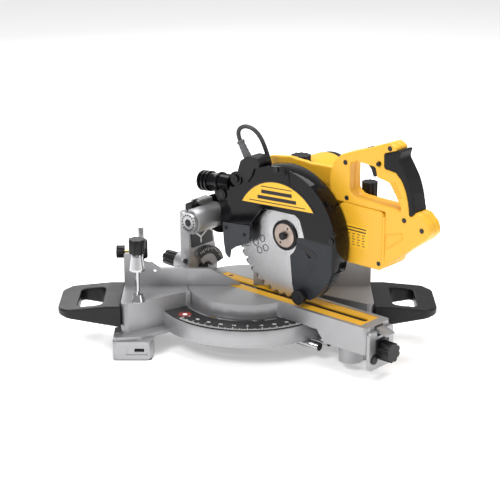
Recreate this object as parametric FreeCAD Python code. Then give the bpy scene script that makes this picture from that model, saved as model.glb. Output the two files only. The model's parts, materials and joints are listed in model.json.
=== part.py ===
import FreeCAD, Part
import math
import os

os.makedirs("parts", exist_ok=True)

# A sliding mitre saw, in millimetres.  World frame: origin on the floor under the turntable pivot,
# X to the operator's right, Y to the back, Z up.  The arm frame turns with the table: x runs out
# along the arm towards the operator, y to the right of the arm, z up from the floor.

# ---- driving dimensions ----
MITRE = 48.5            # angle of the arm to the right of straight ahead
TABLE = 90.0            # height of the table top
DISC_R = 101.0          # turntable disc
RING_R = 152.3          # outside of the scale ring
RING_IN = 104.0
RING_TOP = 62.6
RING_LOW = 34.5
WING_X = 209.0          # half width of the metal base
GRIP_X = 314.0          # half width over the hand grips
FENCE_FRONT, FENCE_BACK = -5.0, 3.0
ARM_HALF = 31.4
ARM_TIP = 280.0
SLOT_BACK, SLOT_FRONT, SLOT_HALF = -35.0, 257.0, 6.0
RAIL_Y, RAIL_Z, RAIL_R = 13.0, 25.0, 7.0
RAIL_BACK, RAIL_FRONT = -158.0, 170.0
TILT_Z = 96.0           # bevel axis, along the arm
ARM_FACE, DIAL_X = -98.0, -93.5     # front faces of the bevel arm's neck and of its dial drum
PIVOT = (-78.0, 198.0)  # chop axis, x and z in the arm frame
LOCK = (-92.0, 219.0)   # lock-down pin, x and z in the arm frame
ARBOR = (84.6, 196.8)   # blade axis, x and z in the arm frame
BLADE_R = 108.0
BLADE_HALF = 1.3
BLADE_TEETH = 40
GUARD_R = 119.0
GUARD_LEFT, GUARD_RIGHT = -18.0, 16.0
COVER_R = 115.0         # lower guard
GEAR_TEETH, PINION_TEETH, MODULE = 48, 8, 2.0
GEAR_GAP = MODULE * (GEAR_TEETH + PINION_TEETH) / 2
MOTOR_ANGLE = math.radians(122)
MOTOR = (ARBOR[0] + GEAR_GAP * math.cos(MOTOR_ANGLE), ARBOR[1] + GEAR_GAP * math.sin(MOTOR_ANGLE))
MOTOR_R = 58.0
SHELL_LEFT, SHELL_MID, SHELL_RIGHT = 20.0, 35.0, 50.0
BOX = (177.0, 271.0, 170.0, 270.0)      # control box: x from, x to, z from, z to
BOLT_X, BOLT_Y, BOLT_R = 213.5, (-101.0, 0.0), 4.5    # bench bolt holes through the feet
CLAMP_X, CLAMP_POST_Y, CLAMP_ROD_Y = -181.0, 20.0, -81.0
LEAD_R = 3.75
FIT = 0.05              # radial running clearance
GAP = 0.4               # clearance between faces that slide past each other

X, Y, Z = FreeCAD.Vector(1, 0, 0), FreeCAD.Vector(0, 1, 0), FreeCAD.Vector(0, 0, 1)


# ---- shape helpers ----
def vec(x, y, z):
    return FreeCAD.Vector(x, y, z)


def box(x0, x1, y0, y1, z0, z1):
    return Part.makeBox(x1 - x0, y1 - y0, z1 - z0, vec(x0, y0, z0))


def rod(r, start, axis, length):
    return Part.makeCylinder(r, length, vec(*start), axis)


def tube(r_out, r_in, start, axis, length):
    return rod(r_out, start, axis, length).cut(rod(r_in, start, axis, length))


def cone(r0, r1, start, axis, length):
    return Part.makeCone(r0, r1, length, vec(*start), axis)


def outline(points, radii):
    """A closed wire through 2-D points, each corner rounded by its radius."""
    n = len(points)
    if not isinstance(radii, (list, tuple)):
        radii = [radii] * n
    edges, ends = [], []
    for i, (x, y) in enumerate(points):
        here = vec(x, y, 0)
        back = (vec(*points[i - 1], 0) - here)
        ahead = (vec(*points[(i + 1) % n], 0) - here)
        turn = back.getAngle(ahead)
        r = radii[i]
        cut = r / math.tan(turn / 2) if r else 0
        limit = 0.48 * min(back.Length, ahead.Length)
        if cut > limit:
            cut = limit
            r = cut * math.tan(turn / 2)
        back.normalize()
        ahead.normalize()
        if cut < 1e-6 or abs(turn - math.pi) < 1e-4:
            ends.append((here, here))
            continue
        mid = back + ahead
        mid.normalize()
        centre = here + mid * (r / math.sin(turn / 2))
        a, b = here + back * cut, here + ahead * cut
        m = centre - mid * r
        edges.append(Part.Arc(a, m, b).toShape())
        ends.append((a, b))
    for i in range(n):
        a, b = ends[i][1], ends[(i + 1) % n][0]
        if (a - b).Length > 1e-6:
            edges.append(Part.makeLine(a, b))
    return Part.Wire(Part.__sortEdges__(edges))


def slab(points, radii, z0, z1):
    """An x-y outline raised from z0 to z1."""
    face = Part.Face(outline(points, radii))
    face.translate(vec(0, 0, z0))
    return face.extrude(vec(0, 0, z1 - z0))


def side(points, radii, y0, y1):
    """An x-z outline given thickness from y0 to y1."""
    face = Part.Face(outline(points, radii))
    face.rotate(vec(0, 0, 0), X, 90)
    face.translate(vec(0, y0, 0))
    return face.extrude(vec(0, y1 - y0, 0))


def front(points, radii, x0, x1):
    """A y-z outline given thickness from x0 to x1."""
    face = Part.Face(outline(points, radii))
    face.rotate(vec(0, 0, 0), X, 90)
    face.rotate(vec(0, 0, 0), Z, 90)
    face.translate(vec(x0, 0, 0))
    return face.extrude(vec(x1 - x0, 0, 0))


def fuse(*shapes):
    whole = shapes[0]
    for shape in shapes[1:]:
        whole = whole.fuse(shape)
    merged = whole.removeSplitter()
    return merged if merged.isValid() else whole


def cut(shape, *tools):
    for tool in tools:
        shape = shape.cut(tool)
    return shape


def mirror_x(shape):
    return shape.mirror(vec(0, 0, 0), X)


def group(shapes):
    return Part.makeCompound(shapes)


def arm_frame(shape):
    """Turn a shape from the arm frame to the world frame."""
    placed = shape.copy()
    placed.rotate(vec(0, 0, 0), Z, MITRE - 90)
    return placed


def at_arbor(r, angle):
    """A point in the x-z plane at a radius and an angle in degrees from the blade axis."""
    a = math.radians(angle)
    return ARBOR[0] + r * math.cos(a), ARBOR[1] + r * math.sin(a)


def sector(r_in, r_out, a0, a1, y0, y1):
    """Part of a ring about the blade axis, from angle a0 to angle a1."""
    def arc(r, p, q):
        pts = [at_arbor(r, a) for a in (p, (p + q) / 2, q)]
        return Part.Arc(*[vec(x, y0, z) for x, z in pts]).toShape()

    outer, inner = arc(r_out, a0, a1), arc(r_in, a1, a0)
    ends = [Part.makeLine(outer.Vertexes[k].Point, inner.Vertexes[1 - k].Point) for k in (0, 1)]
    wire = Part.Wire(Part.__sortEdges__([outer, inner] + ends))
    return Part.Face(wire).extrude(vec(0, y1 - y0, 0))


PIECES = {}


def piece(name, shape):
    PIECES[name] = shape


def arm_piece(name, shape):
    piece(name, arm_frame(shape))


# ---- base ----
def wing():
    """The left fixed table with its walls, foot and the end of the scale ring."""
    top = [(-WING_X, -103), (-WING_X, 40), (-152, 40), (-150, 4), (-80, 4), (-80, -36), (-103, -36)]
    body = slab(top, [8, 8, 3, 3, 0, 0, 3], 35, TABLE)
    hollow = slab([(-203, -95), (-203, 34), (-158, 34), (-156, -2), (-112, -2), (-112, -33)],
                  3, 30, TABLE - 8)
    body = cut(body, hollow, rod(DISC_R + 1.5, (0, 0, 0), Z, TABLE + 5))
    return body


def foot(y0, y1, hole_y, upper):
    """A foot block with a slot, a bench bolt hole and its link up to the wing's walls."""
    block = slab([(-222, y0), (-162, y0), (-155, y0 + 14), (-155, y1), (-222, y1)], 6, 2, 33)
    slot = box(-186, -170, y0 - 1, y1 - 12, 15, 21)
    step = box(-200, -164, y0 - 1, y0 + 1.5, 10, 26)
    bolt = rod(BOLT_R, (-BOLT_X, hole_y, 0), Z, 60)
    return cut(fuse(block, upper), slot, step, bolt)


def foot_flange():
    """A flat lip along the foot of the slanting wall, from the front foot to the scale ring."""
    lip = slab([(-221, -118), (-178, -114), (-132, -76), (-104, -62), (-104, -40), (-221, -70)],
               [6, 14, 10, 0, 0, 6], 32, 39)
    return cut(lip, rod(RING_IN + 6, (0, 0, 0), Z, 60))


def base_casting():
    ring = tube(RING_R, RING_IN, (0, 0, RING_LOW), Z, RING_TOP - RING_LOW)
    ring = cut(ring, tube(RING_R - 6, RING_IN + 6, (0, 0, RING_LOW - 1), Z, 20))
    ring = cut(ring, box(-200, 200, 20, 200, 0, 120))
    hub = rod(22, (0, 0, 36), Z, RING_TOP - 36)
    spokes = box(-RING_IN - 6, RING_IN + 6, -14, 14, 40, 58)
    riser = slab([(-207, -21), (-178, -21), (-178, 52), (-207, 52)], 4, 28, 60)
    half = fuse(wing(), foot(-122, -80, BOLT_Y[0], foot_flange()), foot(-21, 52, BOLT_Y[1], riser))
    whole = fuse(ring, hub, spokes, half, mirror_x(half))
    bore = rod(8.05, (0, 0, 0), Z, 100)
    posts = rod(5.0, (CLAMP_X, CLAMP_POST_Y, 50), Z, 60)
    holes = [rod(3, (s * x, -1, 60), Z, 40) for s in (-1, 1) for x in (128, 190)]
    return cut(whole, bore, posts, mirror_x(posts), *holes)


def fence(profile, radii):
    plate = side(profile, radii, FENCE_FRONT, FENCE_BACK)
    return plate


def left_fence():
    t = TABLE
    profile = [(-209, t), (-209, t + 56), (-197, t + 56), (-172, t + 40), (-163, t + 40),
               (-149, t + 30), (-65, t + 30), (-13, t + 2), (-13, t + GAP), (-105, t + GAP), (-105, t)]
    body = fence(profile, [0, 3, 6, 8, 4, 6, 6, 1, 0, 0, 0])
    toe = box(-206, -112, FENCE_BACK - 1, 13, t, t + 6)
    ribs = [front([(FENCE_BACK - 1, t), (13, t), (FENCE_BACK - 1, t + 24)], 0, x, x + 5)
            for x in (-204, -160, -120)]
    body = fuse(body, toe, *ribs)
    grooves = [box(x, x + 2, FENCE_FRONT - 1, FENCE_FRONT + 0.8, t + 2, t + 26)
               for x in range(-150, -66, 9)]
    return cut(body, rod(3, (-157, -20, t + 25), Y, 60), box(-152, -105, 4, 40, t - 1, t + 8), *grooves)


def hand_grip():
    """The left carrying grip: a flat loop of moulded plastic."""
    plan = [(-WING_X, -103), (-WING_X, 18), (-299, 18), (-GRIP_X, 0), (-GRIP_X, -88), (-298, -103)]
    body = slab(plan, [0, 0, 16, 20, 24, 20], 51, 88)
    hole = slab([(-281, -91), (-281, -4), (-240, -4), (-240, -91)], 12, 40, 100)
    under = side([(-WING_X, 40), (-WING_X, 51), (-GRIP_X - 2, 70), (-GRIP_X - 2, 40)], 0, -120, 60)
    over = side([(-230, 88.5), (-GRIP_X - 2, 80), (-GRIP_X - 2, 95), (-230, 95)], 0, -120, 60)
    return cut(body, hole, under, over)


def fence_screws():
    return group([fuse(rod(2.9, (s * x, -1, 76), Z, 15), rod(2.9, (s * x, -1, 72), Z, 6))
                  for s in (-1, 1) for x in (128, 190)])


def build_base():
    piece("base_casting", base_casting())
    left = left_fence()
    piece("left_fence", cut(left, *[rod(2.9, (-x, -1, 80), Z, 11) for x in (128, 190)]))
    right = mirror_x(left)
    tall = box(9, 14, FENCE_FRONT, FENCE_BACK, TABLE + GAP, TABLE + 30)
    filler = side([(14, TABLE + GAP), (14, TABLE + 30), (66, TABLE + 30), (66, TABLE + GAP)], 0,
                  FENCE_FRONT, FENCE_BACK)
    right = cut(fuse(right, tall, filler), box(0, 10, -20, 20, 80, 130))
    piece("right_fence", cut(right, *[rod(2.9, (x, -1, 80), Z, 11) for x in (128, 190)]))
    piece("fence_screws", fence_screws())
    piece("left_hand_grip", hand_grip())
    piece("right_hand_grip", mirror_x(hand_grip()))
    pads = [slab([(-221, y0), (-158, y0), (-158, y1), (-221, y1)], 4, 0, 2)
            for y0, y1 in ((-119, -83), (-18, 49))]
    pads = [cut(pad, *[rod(BOLT_R, (-BOLT_X, y, -5), Z, 10) for y in BOLT_Y]) for pad in pads]
    piece("foot_pads", group(pads + [mirror_x(pad) for pad in pads]))
    scale = tube(RING_R - 3, RING_IN + 4, (0, 0, RING_TOP), Z, 1.5)
    piece("miter_scale", cut(scale, box(-200, 200, -20, 200, 0, 120), wing(), mirror_x(wing())))
    bolt = fuse(rod(8, (0, 0, 36), Z, 38), rod(14, (0, 0, 74), Z, 6), rod(13, (0, 0, 33), Z, 3))
    piece("pivot_bolt", bolt)


# ---- turntable ----
def hanger(x0, x1):
    body = box(x0, x1, -27, 27, 12, 66)
    holes = [rod(11, (x0 - 1, s * RAIL_Y, RAIL_Z), X, x1 - x0 + 2) for s in (-1, 1)]
    return cut(body, *holes)


ARM_LOW = RING_TOP + 1.5 + GAP
HANGERS = ((-98, -65), (62, 88))
LEVER_PIN = (268, 82.3)


def turntable():
    disc = cut(rod(DISC_R, (0, 0, RING_TOP + GAP), Z, TABLE - RING_TOP - GAP),
               tube(DISC_R - 8, 18, (0, 0, 0), Z, TABLE - 12))
    arm = slab([(0, -ARM_HALF), (ARM_TIP, -ARM_HALF), (ARM_TIP, ARM_HALF), (0, ARM_HALF)],
               [0, 9, 9, 0], ARM_LOW, TABLE)
    fillets = [slab([(60, 0), (60, s * 78), (73, s * 66), (82, s * 47), (88, s * 36), (98, s * 32.5),
                     (128, s * (ARM_HALF - 0.4)), (128, 0)], [0, 0, 0, 20, 30, 30, 0, 0],
                    ARM_LOW, TABLE) for s in (-1, 1)]
    deep = slab([(160, -ARM_HALF), (ARM_TIP, -ARM_HALF), (ARM_TIP, ARM_HALF), (160, ARM_HALF)],
                [0, 9, 9, 0], 44, 70)
    ramp = side([(150, 40), (150, RING_TOP + 1), (178, RING_TOP + 1), (194, 44), (194, 40)], 0, -40, 40)
    boss = rod(20, (225, 0, 14), Z, 34)
    body = fuse(disc, arm, *fillets, cut(deep, ramp), boss, *[hanger(*h) for h in HANGERS])
    trough = slab([(SLOT_BACK - 4, -18), (SLOT_FRONT + 4, -18), (SLOT_FRONT + 4, 18),
                   (SLOT_BACK - 4, 18)], 8, 70, TABLE + 1)
    hollow = box(170, 268, -26, 26, 40, 66)
    recess = box(-70, 262.5, -24.3, 24.3, TABLE - 3, TABLE + 1)
    bore = fuse(rod(8 + FIT, (0, 0, 60), Z, 14), rod(14.5, (0, 0, 73.5), Z, 20))
    lever_room = box(262.6, ARM_TIP + 1, -11, 11, 74, TABLE - 1)
    pin_hole = rod(2.5, (*LEVER_PIN[:1], -15, LEVER_PIN[1]), Y, 30)
    hollow = cut(hollow, rod(21, (225, 0, 0), Z, 90))
    rod_room = rod(5 + FIT, (150, 0, 48), X, 140)
    return cut(body, trough, recess, bore, hollow, lever_room, rod_room, pin_hole)


def kerf_plate():
    plate = box(-69.5, 262, -24, 24, TABLE - 3, TABLE - 0.3)
    slot = slab([(SLOT_BACK, -SLOT_HALF), (SLOT_FRONT, -SLOT_HALF), (SLOT_FRONT, SLOT_HALF),
                 (SLOT_BACK, SLOT_HALF)], SLOT_HALF - 0.1, 80, 100)
    screws = [rod(4.2, (x, s * 16, 80), Z, 20) for x in (-52,) for s in (-1, 1)]
    return cut(plate, slot, *screws)


def knob(start, axis, r, length, lobes=8):
    """A round hand knob with flutes around it."""
    body = rod(r, start, axis, length)
    base = vec(*start)
    across = X if abs(axis.dot(X)) < 0.9 else Y
    other = axis.cross(across)
    for k in range(lobes):
        a = 2 * math.pi * k / lobes
        at = base + (across * math.cos(a) + other * math.sin(a)) * (r + r * 0.12)
        body = body.cut(Part.makeCylinder(r * 0.26, length, at, axis))
    return body


def build_turntable():
    arm_piece("turntable", turntable())
    arm_piece("kerf_plate", kerf_plate())
    arm_piece("kerf_screws", group([rod(4, (-52, s * 16, TABLE - 3), Z, 2.2) for s in (-1, 1)]))
    plate = front([(-31, 18), (31, 18), (31, 83), (-31, 83)], 5, ARM_TIP + 0.1, ARM_TIP + 6)
    plate = cut(plate, rod(5.5, (270, 0, 48), X, 40), box(270, 300, -12, 12, 73, 90))
    arm_piece("nose_plate", plate)
    bushes = [tube(11, RAIL_R + FIT, (x0 + 1, s * RAIL_Y, RAIL_Z), X, x1 - x0 - 2)
              for x0, x1 in HANGERS for s in (-1, 1)]
    arm_piece("rail_bushings", group(bushes))
    stem = fuse(rod(5, (156, 0, 48), X, 134), knob((ARM_TIP + 8, 0, 48), X, 16.5, 23))
    arm_piece("miter_lock_knob", fuse(stem, rod(9, (ARM_TIP + 6.5, 0, 48), X, 3)))
    lever = side([(263.4, 79), (283, 79), (304, 75), (305, 80), (284, 86.4), (263.4, 86)], 2, -9, 9)
    px, pz = LEVER_PIN
    arm_piece("detent_lever", cut(lever, rod(2.5 + FIT, (px, -20, pz), Y, 40)))
    arm_piece("lever_pin", rod(2.5, (px, -15, pz), Y, 30))


# ---- slide carriage ----
def rear_carriage():
    block = box(-158, -124, -32, 32, 12, 86)
    head = rod(18, (-158, 0, TILT_Z), X, 34)
    body = fuse(block, head)
    rails = [rod(RAIL_R, (RAIL_BACK - 5, s * RAIL_Y, RAIL_Z), X, 60) for s in (-1, 1)]
    slot = rod(6 + FIT, (-170, 0, TILT_Z), X, 60)
    return cut(body, *rails, slot)


def build_carriage():
    length = RAIL_FRONT - RAIL_BACK
    rails = [rod(RAIL_R, (RAIL_BACK, s * RAIL_Y, RAIL_Z), X, length) for s in (-1, 1)]
    arm_piece("slide_rails", group(rails))
    arm_piece("rear_carriage", rear_carriage())
    stem = fuse(rod(6, (-163, 0, TILT_Z), X, 60), rod(9, (-163, 0, TILT_Z), X, 3.5),
                rod(11, (-104.3, 0, TILT_Z), X, 2.8))
    arm_piece("bevel_knob", fuse(stem, knob((-190, 0, TILT_Z), X, 13.5, 27.5, 6)))


# ---- bevel arm ----
def tilt_fan(r_in, r_out, low, high, x0, x1):
    """A ring sector about the bevel axis between two planes across the arm."""
    steps = 16
    turns = [math.radians(low + (high - low) * k / steps) for k in range(steps + 1)]
    points = [(r_out * math.cos(a), TILT_Z + r_out * math.sin(a)) for a in turns]
    points += [(r_in * math.cos(a), TILT_Z + r_in * math.sin(a)) for a in reversed(turns)]
    return front(points, 0, x0, x1)


def bevel_arm():
    plate = rod(38, (-123.6, 0, TILT_Z), X, 19)
    drum = tilt_fan(14, 40, 12, 128, -105, DIAL_X)
    neck = front([(-38, 112), (-40, 140), (-40, 200), (8, 200), (8, 168), (20, 162), (28, 120)],
                 [6, 0, 6, 0, 6, 5, 0], -119, ARM_FACE)
    barrel = rod(21.5, (PIVOT[0], -57, PIVOT[1]), Y, 65)
    web = fuse(side([(-119, 168), (-119, 206), (-84, 218), (-72, 190), (-84, 182), (-98, 172)],
                    4, -40, 8),
               side([(-98, 186), (-98, 212), (-84, 219), (-72, 219), (-72, 186)], 3, -57, 8))
    lug = side([(-102, 200), (-102, 228), (-84, 228), (-80, 205)], 3, -30, 4)
    body = fuse(plate, drum, neck, barrel, web, lug)
    return cut(body, rod(12 + FIT, (PIVOT[0], -70, PIVOT[1]), Y, 100), rod(6 + FIT, (-130, 0, TILT_Z), X, 40),
               rod(13, (-104.6, 0, TILT_Z), X, 20),
               rod(4 + FIT, (LOCK[0], -40, LOCK[1]), Y, 60), rod(9.5, (LOCK[0], -60, LOCK[1]), Y, 38))


def build_bevel():
    arm_piece("bevel_arm", bevel_arm())
    shield = front([(-34, 142), (-36, 172), (0, 172), (16, 161), (19, 142)], [2, 4, 6, 6, 2], ARM_FACE, ARM_FACE + 1.5)
    arm_piece("bevel_scale", group([tilt_fan(28, 41.5, 14, 126, DIAL_X, DIAL_X + 1.5), shield]))
    shaft = fuse(rod(12, (PIVOT[0], -60, PIVOT[1]), Y, 96), rod(17, (PIVOT[0], -63, PIVOT[1]), Y, 5.5))
    arm_piece("chop_shaft", cut(shaft, rod(6, (PIVOT[0], -66, PIVOT[1]), Y, 9)))
    pin = fuse(rod(4, (LOCK[0], -36, LOCK[1]), Y, 38), knob((LOCK[0], -47, LOCK[1]), Y, 8, 12, 6))
    arm_piece("lock_down_pin", pin)


# ---- head ----
def gear_case():
    ax, az = ARBOR
    px, pz = PIVOT
    ear = rod(34, (px, 10, pz), Y, 24)
    beam = side([(px, pz - 26), (px, pz + 34), (ax - 60, az + 46), (ax, az + 62), (ax, az - 54),
                 (ax - 50, az - 34)], 0, 18, 44)
    body = rod(56, (ax, 18, az), Y, 26)
    mount = rod(MOTOR_R - 2, (MOTOR[0], 18, MOTOR[1]), Y, 26)
    nose = rod(32, (ax, 6, az), Y, 14)
    lead_entry = rod(8, (29.2, 27, 270), Z, 27)
    whole = fuse(ear, beam, body, mount, nose, lead_entry)
    gear_room = rod(52.5, (ax, 24, az), Y, 9)
    pinion_room = rod(12, (MOTOR[0], 24, MOTOR[1]), Y, 21)
    tools = [gear_room, pinion_room, rod(13, (ax, 0, az), Y, 42), rod(12 + FIT, (px, 0, pz), Y, 50),
             rod(4.3, (LOCK[0], 0, LOCK[1]), Y, 26)]
    return cut(whole, *tools)


def upper_guard():
    ax, az = ARBOR
    shell = rod(GUARD_R, (ax, GUARD_LEFT, az), Y, GUARD_RIGHT - GUARD_LEFT)
    shell = cut(shell, rod(GUARD_R - 3.5, (ax, GUARD_LEFT + 2.5, az), Y, GUARD_RIGHT - GUARD_LEFT - 5))
    open_below = side([(ax - 200, az - 10), (ax - 60, az - 14), (ax + 40, az + 4), (ax + 112, az - 30),
                       (ax + 112, az - 60), (ax + 200, az - 100), (ax, az - 200), (ax - 200, az - 200)],
                      0, -40, 40)
    window = side([(48, 240), (24, 210), (20, 160), (139, 160), (139, 205), (128, 236), (118, 242)],
                  [8, 8, 0, 0, 12, 10, 6], -30, GUARD_LEFT + 5)
    front_cut = side([(125, 160), (125, 207), (196, 207), (196, 160)], 0, -30, GUARD_LEFT + 5)
    hub = rod(33, (ax, 8, az), Y, 20)
    rear_screw = fuse(rod(12, (-8, GUARD_LEFT - 3, 280), Y, 4), rod(7, (-8, GUARD_LEFT - 6, 280), Y, 4))
    return fuse(cut(shell, open_below, window, front_cut, hub),
                cut(rear_screw, rod(GUARD_R - 3.5, (ax, GUARD_LEFT + 2.5, az), Y, 40)))


def rear_shield():
    plate = side([(-38, 198), (-36, 166), (-32, 144), (-23, 136), (-20, 152), (-9, 160), (20, 173),
                  (22, 188), (22, 204)], 1.5, GUARD_LEFT - 2.5, GUARD_LEFT)
    return plate


def lower_guard():
    ax, az = ARBOR
    left = fuse(sector(34, COVER_R, -72, 9, -13, -11), sector(62, COVER_R, 8, 60, -13, -11))
    right = fuse(sector(38 + FIT, COVER_R, -72, 60, 9, 11), tube(44, 38 + FIT, (ax, 9, az), Y, 2))
    rim = sector(COVER_R - 2.5, COVER_R, -72, 60, -13, 11)
    body = fuse(left, right, rim)
    notch = side([at_arbor(42, -6), at_arbor(76, -9), at_arbor(66, -22)], 3, -20, -5)
    axle = rod(3, (132, -28, 105.5), Y, 16)
    lug = rod(7, (132, -16, 105.5), Y, 4)
    body = cut(body, box(0, 300, -40, 40, 0, 101), notch)
    left_edge = side([(80, 200), (104, 174), (112, 100), (60, 80)], 0, -20, -5)
    return fuse(cut(body, left_edge), lug, axle)


def gear_wheel(centre, teeth, y0, y1, turn, tooth=0.34):
    """A spur wheel with slim straight teeth; turn is the angle in degrees of its first tooth."""
    r = MODULE * teeth / 2
    body = rod(r - 1.9, (centre[0], y0, centre[1]), Y, y1 - y0)
    half = math.pi * MODULE * tooth / 2
    for k in range(teeth):
        one = side([(r - 2.6, -half), (r + 1.4, -half * 0.6), (r + 1.4, half * 0.6), (r - 2.6, half)],
                   0, y0, y1)
        one.rotate(vec(0, 0, 0), Y, -(turn + 360 * k / teeth))
        one.translate(vec(centre[0], 0, centre[1]))
        body = body.fuse(one)
    return body


def motor_housing():
    mx, mz = MOTOR
    barrel = rod(MOTOR_R, (mx, 44.5, mz), Y, 105)
    link = side([(mx, mz), (mx + 12, mz + 56), (128, 290), (154, 281), (156, 264), (190, 262),
                 (190, 182), (120, 172), (mx, mz - 50)], [0, 0, 20, 8, 4, 0, 0, 20, 0], 46, 80)
    x0, x1, z0, z1 = BOX
    case = side([(x0, z0), (x1, z0), (x1, z1), (x0, z1)], 14, SHELL_LEFT, 82)
    room = side([(x0 + 4, z0 + 4), (x1 - 4, z0 + 4), (x1 - 4, z1 - 4), (x0 + 4, z1 - 4)], 11,
                SHELL_LEFT + 4, 78)
    bore = rod(MOTOR_R - 5, (mx, 48, mz), Y, 103)
    saddle = side([(2, 285), (4, 309), (52, 316), (100, 313), (149, 315), (156, 300), (156, 284)],
                  [0, 12, 20, 8, 8, 6, 0], 45, 54)
    body = cut(fuse(barrel, link, case, saddle), room, bore, rod(10.05, (mx, 40, mz), Y, 12))
    cap_seat = rod(17.2, (mx - 2, 75, mz + 40), Z, 40)
    lock_seat = rod(6 + FIT, (125, 65, 262), Z, 50)
    return cut(body, cap_seat, lock_seat, rod(13.2, (202, 70, 262), Z, 12))


GRIP_BAND = [(266, 364), (267, 340), (289, 338), (302, 326), (310, 310), (315, 292), (318, 270),
             (329, 279), (323, 308), (315, 331), (304, 348), (295, 361), (300, 376)]
GRIP_BAND_R = [3, 4, 8, 12, 14, 8, 3, 3, 20, 14, 10, 6, 2]


def handle():
    """The whole D handle with the nose below it, before it is split into two shells."""
    body = side([(160, 270.2), (158, 311), (167, 333), (181, 348), (250, 373), (277, 384), (289, 377),
                 (293, 361), (302, 348), (313, 331), (321, 308), (325, 282), (340, 279), (354, 266),
                 (359, 251), (349, 239), (311, 211), (288, 192), (271.2, 180), (271.2, 270.2)],
                [4, 20, 20, 16, 30, 10, 8, 6, 10, 14, 20, 6, 8, 8, 10, 8, 20, 20, 0, 0],
                SHELL_LEFT, SHELL_RIGHT)
    opening = side([(199, 337), (199, 291), (210, 283), (292, 280), (302, 276), (300, 284), (291, 300),
                    (277, 319), (253, 323), (250, 339), (212, 342)],
                   [8, 8, 12, 6, 3, 10, 20, 8, 4, 6, 10], 0, 80)
    band = side(GRIP_BAND, GRIP_BAND_R, 0, 80)
    trigger_room = box(224, 252, 26.5, 43.5, 320, 358)
    switch_room = box(226, 262, 27.5, 42.5, 357, 366)
    button = rod(3.2 + FIT, (BUTTON[0], 10, BUTTON[1]), Y, 22)
    return cut(body, opening, band, trigger_room, switch_room, button)


SCREW_SPOTS = ((190, 336), (277, 374), (194, 278), (308, 264), (342, 254))
GUARD_SPOTS = ((78, 311), (194, 214))
TRIGGER_PIN = (233, 347)
BUTTON = (257, 346)


def trigger():
    body = side([(227, 352), (241, 352), (247, 336), (247, 322), (241, 320), (236, 332), (228, 340)],
                [3, 3, 6, 2, 3, 10, 4], 28, 42)
    return fuse(body, rod(2, (TRIGGER_PIN[0], 24, TRIGGER_PIN[1]), Y, 22))


def armature():
    mx, mz = MOTOR
    core = rod(24, (mx, 62, mz), Y, 50)
    shaft = rod(5, (mx, 24.5, mz), Y, 118)
    commutator = rod(13, (mx, 118, mz), Y, 18)
    offset = math.degrees(MOTOR_ANGLE) + 180 + 180 / PINION_TEETH
    teeth = gear_wheel(MOTOR, PINION_TEETH, 25, 32, offset)
    return fuse(core, shaft, commutator, teeth)


def fan():
    mx, mz = MOTOR
    hub = tube(12, 5, (mx, 50, mz), Y, 8)
    plate = tube(42, 10, (mx, 50, mz), Y, 2)
    blades = []
    for k in range(12):
        blade = box(10, 40, 51, 57.5, -1, 1)
        blade.rotate(vec(0, 0, 0), Y, 30 * k)
        blade.translate(vec(mx, 0, mz))
        blades.append(blade)
    return fuse(hub, plate, *blades)


def dust_spout():
    start, end = vec(-30, -4, 264), vec(-97, -6, 257)
    axis = end - start
    length = axis.Length
    axis.normalize()
    body = Part.makeCylinder(15, length, start, axis)
    for at in (22, 46, 54, 62):
        body = body.fuse(Part.makeCylinder(17.5, 4, start + axis * at, axis))
    body = body.removeSplitter()
    web = side([(-48, 191), (-47, 222), (-64, 250), (-40, 262), (-10, 262), (-20, 191)],
               [3, 16, 4, 4, 0, 0], -15, 5)
    boss = rod(9, (-43, -18, 245), Y, 16)
    body = fuse(body, web, boss).cut(Part.makeCylinder(12.5, length - 12, end, axis * -1))
    ax, az = ARBOR
    return body.cut(rod(GUARD_R, (ax, -40, az), Y, 80))


def saw_blade():
    ax, az = ARBOR
    body = rod(BLADE_R - 7, (ax, -BLADE_HALF + 0.3, az), Y, 2 * BLADE_HALF - 0.6)
    pitch = 360 / BLADE_TEETH
    for k in range(BLADE_TEETH):
        a = k * pitch
        tip = side([at_arbor(BLADE_R - 8, a - 1), at_arbor(BLADE_R - 1.5, a), at_arbor(BLADE_R, a + 2.2),
                    at_arbor(BLADE_R - 3, a + 6), at_arbor(BLADE_R - 8, a + 7)], 0,
                   -BLADE_HALF + 0.3, BLADE_HALF - 0.3)
        body = body.fuse(tip)
    return cut(body.removeSplitter(), rod(8, (ax, -5, az), Y, 10))


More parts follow.
